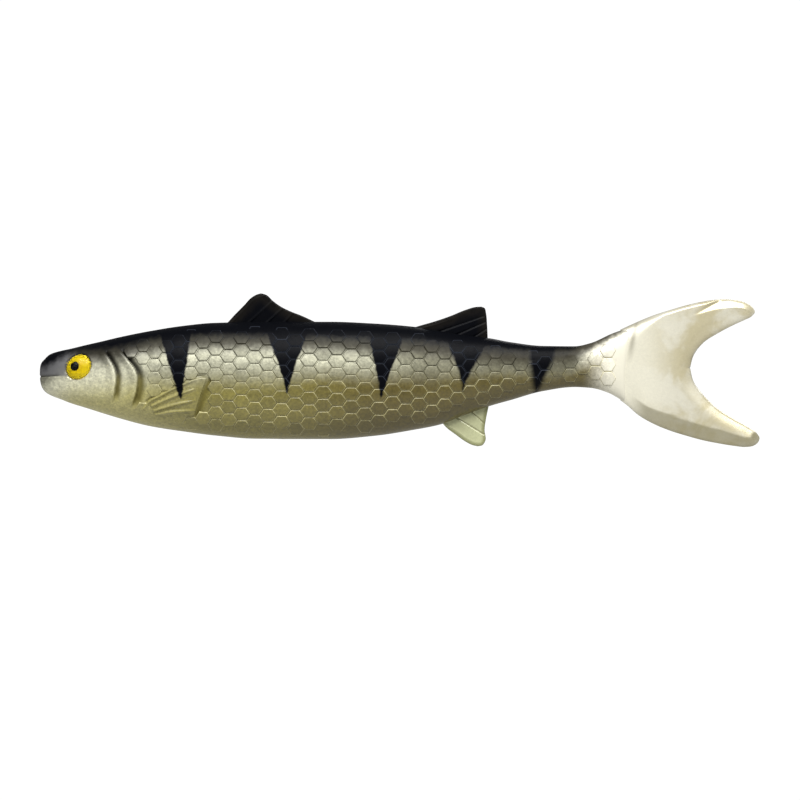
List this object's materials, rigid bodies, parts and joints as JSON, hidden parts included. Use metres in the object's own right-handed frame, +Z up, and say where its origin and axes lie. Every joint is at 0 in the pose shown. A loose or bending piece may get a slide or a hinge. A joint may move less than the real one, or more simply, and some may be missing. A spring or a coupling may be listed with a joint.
{
  "type": "soft swimbait",
  "caption": "Soft cast swimbait with scaled flanks, folding fins, a deeply forked tail that bends at its root, and a tube through the head for the fishing line.",
  "frame": {"origin": "centre of the line tube's mouth, 1 mm behind the tip of the nose on the middle plane", "axes": "+X from nose to tail, +Z up through the back, -Y out of the fish's left flank"},
  "size_m": [0.2, 0.0208, 0.0429],
  "materials": {
    "flank_pvc": "soft translucent PVC with pearl pigment, black back and bars",
    "pearl_pvc": "soft PVC with pearl pigment, glossy",
    "black_pvc": "soft PVC painted black, glossy",
    "yellow_iris": "yellow lacquered bead",
    "black_pupil": "gloss black",
    "clear_resin": "clear cast resin dome",
    "tube_plastic": "natural PTFE tube",
    "keel_brass": "turned brass",
    "nylon_ribbon": "open woven nylon ribbon"
  },
  "bodies": {
    "head": {"front_body": "flank_pvc", "line_tube": "tube_plastic", "keel_weight": "keel_brass", "spine_ribbon_front": "nylon_ribbon", "left_pectoral_fin": "flank_pvc", "right_pectoral_fin": "flank_pvc", "left_eye": "yellow_iris", "right_eye": "yellow_iris", "left_pupil": "black_pupil", "right_pupil": "black_pupil", "left_eye_lens": "clear_resin", "right_eye_lens": "clear_resin"},
    "rear": {"rear_body": "flank_pvc", "spine_ribbon_rear": "nylon_ribbon"},
    "stem": {"tail_stem": "flank_pvc", "spine_ribbon_stem": "nylon_ribbon"},
    "tail": {"tail_fin": "pearl_pvc", "spine_ribbon_tail": "nylon_ribbon"},
    "front_dorsal": {"front_dorsal_fin": "black_pvc"},
    "rear_dorsal": {"rear_dorsal_fin": "black_pvc"},
    "anal": {"anal_fin": "pearl_pvc"}
  },
  "joints": [
    {"name": "body_bend", "type": "hinge", "parent": "head", "child": "rear", "pos_m": [0.098, 0, 0], "axis": [0, 0, 1], "range_deg": [-10, 10], "stiffness_Nm_per_rad": 0.05},
    {"name": "stem_bend", "type": "hinge", "parent": "rear", "child": "stem", "pos_m": [0.131, 0, 0], "axis": [0, 0, 1], "range_deg": [-25, 25], "stiffness_Nm_per_rad": 0.008},
    {"name": "tail_bend", "type": "hinge", "parent": "stem", "child": "tail", "pos_m": [0.1625, 0, 0], "axis": [0, 0, 1], "range_deg": [-40, 40], "stiffness_Nm_per_rad": 0.003},
    {"name": "front_dorsal_fold", "type": "hinge", "parent": "head", "child": "front_dorsal", "pos_m": [0.0514, 0, 0.01494], "axis": [1, 0, 0.005], "range_deg": [-20, 20], "stiffness_Nm_per_rad": 0.0005},
    {"name": "rear_dorsal_fold", "type": "hinge", "parent": "rear", "child": "rear_dorsal", "pos_m": [0.1036, 0, 0.01326], "axis": [0.9892, 0, -0.1463], "range_deg": [-20, 20], "stiffness_Nm_per_rad": 0.0005},
    {"name": "anal_fold", "type": "hinge", "parent": "rear", "child": "anal", "pos_m": [0.1108, 0, -0.01398], "axis": [0.937, 0, 0.3492], "range_deg": [-20, 20], "stiffness_Nm_per_rad": 0.0005}
  ]
}
